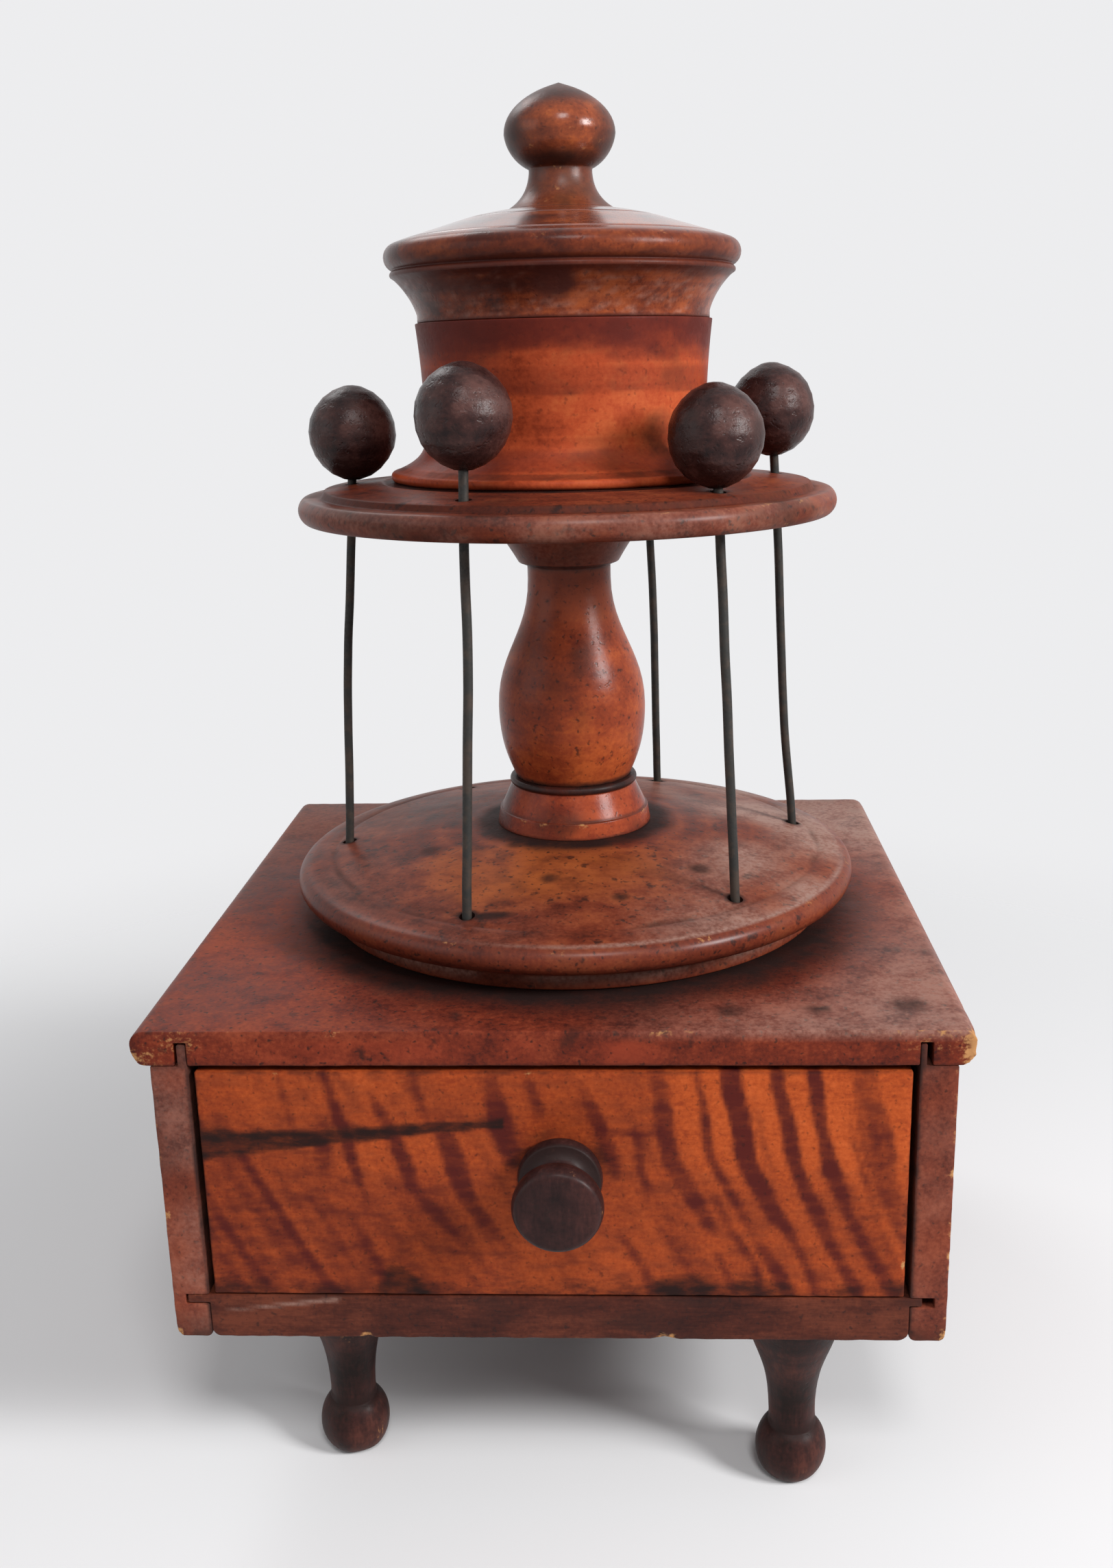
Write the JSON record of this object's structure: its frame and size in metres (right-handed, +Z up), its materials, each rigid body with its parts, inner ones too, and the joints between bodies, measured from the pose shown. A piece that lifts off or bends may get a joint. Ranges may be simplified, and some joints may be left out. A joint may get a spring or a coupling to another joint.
{
  "type": "revolving sewing caddy",
  "caption": "Tabletop wooden sewing caddy: a drawer case on turned feet carries a revolving spool stand with ball-topped wire pins and a lidded cup.",
  "frame": {"origin": "on the table, under the middle of the whole object's outline seen from above", "axes": "+Z up, -Y out of the drawer front, +X to the right seen from the front"},
  "size_m": [0.1724, 0.176, 0.3052],
  "materials": {
    "case_wood": "worn red-brown stain and shellac",
    "figured_wood": "worn shellac over striped figured maple",
    "turned_wood": "satin red-brown shellac with turning rings",
    "dark_wood": "dark brown stain, nearly matt",
    "foot_wood": "dark red-brown stain",
    "plain_wood": "bare, aged",
    "iron_wire": "dark oxidised drawn wire",
    "steel": "dull, aged"
  },
  "bodies": {
    "case": {"case_top": "case_wood", "case_side_left": "case_wood", "case_side_right": "case_wood", "case_bottom": "case_wood", "case_back": "plain_wood", "case_nails": "steel", "foot_front_left": "foot_wood", "foot_front_right": "foot_wood", "foot_back_left": "foot_wood", "foot_back_right": "foot_wood"},
    "drawer": {"drawer_front": "figured_wood", "drawer_side_left": "plain_wood", "drawer_side_right": "plain_wood", "drawer_back": "plain_wood", "drawer_bottom": "plain_wood", "drawer_knob": "dark_wood", "drawer_nails": "steel"},
    "stand": {"lower_disc": "turned_wood", "column_collar": "turned_wood", "column": "turned_wood", "upper_disc": "turned_wood", "cup": "turned_wood", "pivot_washer": "steel", "pivot_screw": "steel"},
    "lid": {"lid": "turned_wood", "lid_knob": "turned_wood"},
    "pin_right": {"pin_wire_right": "iron_wire", "pin_ball_right": "dark_wood"},
    "pin_back_right": {"pin_wire_back_right": "iron_wire", "pin_ball_back_right": "dark_wood"},
    "pin_left": {"pin_wire_left": "iron_wire", "pin_ball_left": "dark_wood"},
    "pin_front_left": {"pin_wire_front_left": "iron_wire", "pin_ball_front_left": "dark_wood"},
    "pin_front_right": {"pin_wire_front_right": "iron_wire", "pin_ball_front_right": "dark_wood"}
  },
  "joints": [
    {"name": "drawer_slide", "type": "slide", "parent": "case", "child": "drawer", "axis": [0, -1, 0], "range_m": [0, 0.11]},
    {"name": "stand_swivel", "type": "hinge", "parent": "case", "child": "stand", "pos_m": [0.0023, 0.0075, 0.1156], "axis": [0, 0, 1], "continuous": true},
    {"name": "lid_lift", "type": "slide", "parent": "stand", "child": "lid", "axis": [0, 0, 1], "range_m": [0, 0.05]},
    {"name": "pin_right_lift", "type": "slide", "parent": "stand", "child": "pin_right", "axis": [-0.0649, -0.015, 0.9978], "range_m": [0, 0.022]},
    {"name": "pin_back_right_lift", "type": "slide", "parent": "stand", "child": "pin_back_right", "axis": [-0.0249, -0.0617, 0.9978], "range_m": [0, 0.022]},
    {"name": "pin_left_lift", "type": "slide", "parent": "stand", "child": "pin_left", "axis": [0.0666, 0, 0.9978], "range_m": [0, 0.022]},
    {"name": "pin_front_left_lift", "type": "slide", "parent": "stand", "child": "pin_front_left", "axis": [0.0249, 0.0617, 0.9978], "range_m": [0, 0.022]},
    {"name": "pin_front_right_lift", "type": "slide", "parent": "stand", "child": "pin_front_right", "axis": [-0.0437, 0.0503, 0.9978], "range_m": [0, 0.022]}
  ]
}
